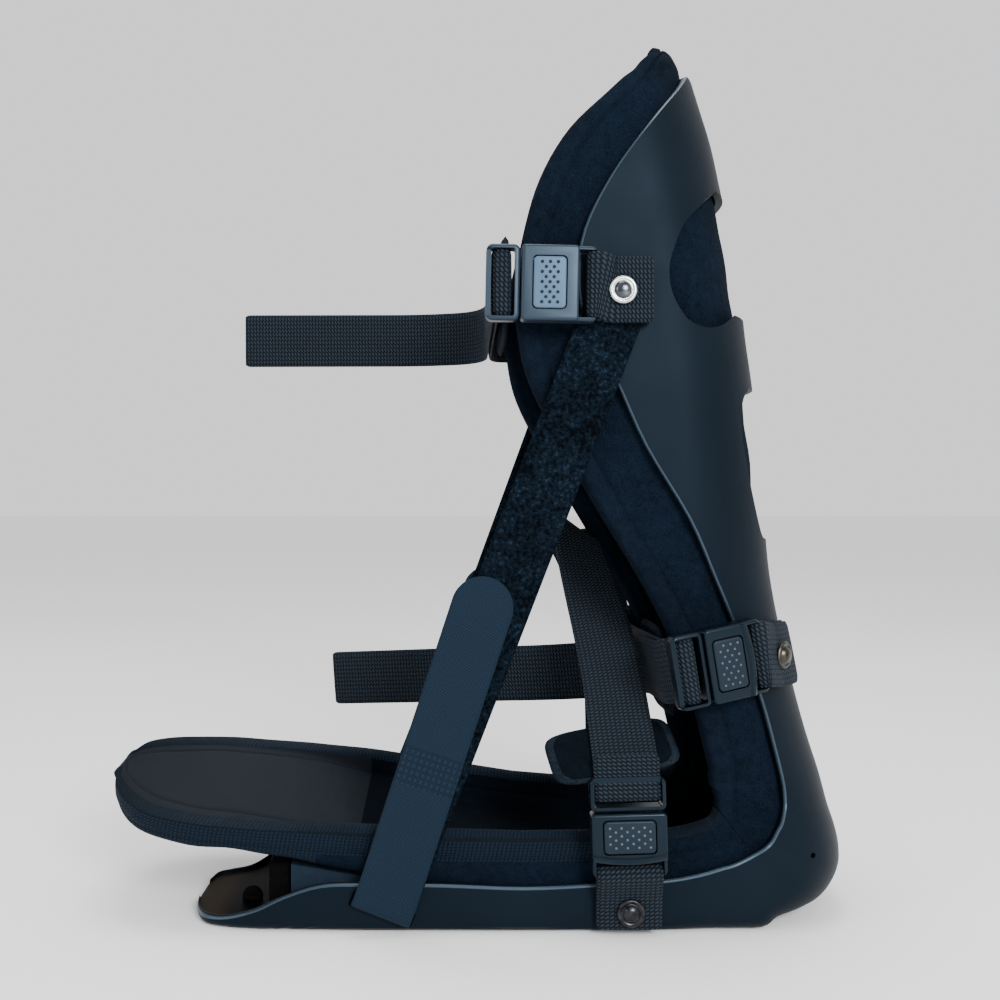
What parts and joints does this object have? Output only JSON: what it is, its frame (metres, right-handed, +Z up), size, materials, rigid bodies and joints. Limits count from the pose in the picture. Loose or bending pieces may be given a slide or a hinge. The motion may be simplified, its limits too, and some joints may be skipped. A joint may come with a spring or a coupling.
{
  "type": "night splint",
  "caption": "Rigid L-shaped foot and calf splint with a padded trough liner, side tension straps and webbing straps with centre-release buckles.",
  "frame": {"origin": "middle of the flat underside of the sole", "axes": "+Z up along the calf, +X towards the heel, toe towards -X, the side with the buckles towards -Y"},
  "size_m": [0.3046, 0.126, 0.3585],
  "materials": {
    "shell_plastic": "fine grained",
    "liner_cloth": "napped",
    "foam_grey": "plain",
    "hook_black": "hooked",
    "loop_cloth": "looped",
    "webbing": "woven",
    "buckle_plastic": "satin",
    "button_plastic": "satin",
    "rivet_bright": "polished",
    "rivet_dark": "polished",
    "rivet_bronze": "polished"
  },
  "bodies": {
    "root": {"shell": "shell_plastic", "calf_liner": "liner_cloth", "foot_liner": "liner_cloth", "toe_wedge": "foam_grey", "hook_block": "hook_black", "toe_stud": "hook_black", "tension_strap_near": "loop_cloth", "tension_strap_far": "loop_cloth", "calf_strap": "webbing", "ankle_strap": "webbing", "instep_strap": "webbing", "calf_anchor": "webbing", "ankle_anchor": "webbing", "instep_anchor": "webbing", "calf_pad": "liner_cloth", "ankle_pad": "liner_cloth", "instep_pad": "liner_cloth", "calf_rivet_near": "rivet_bright", "calf_rivet_far": "rivet_bright", "foot_rivet_near": "rivet_dark", "foot_rivet_far": "rivet_dark", "ankle_rivet_near": "rivet_bronze", "ankle_rivet_far": "rivet_bronze", "calf_buckle_body": "buckle_plastic", "calf_buckle_frame": "buckle_plastic", "calf_buckle_button": "button_plastic", "ankle_buckle_body": "buckle_plastic", "ankle_buckle_frame": "buckle_plastic", "ankle_buckle_button": "button_plastic", "instep_buckle_body": "buckle_plastic", "instep_buckle_frame": "buckle_plastic", "instep_buckle_button": "button_plastic"}
  },
  "joints": []
}
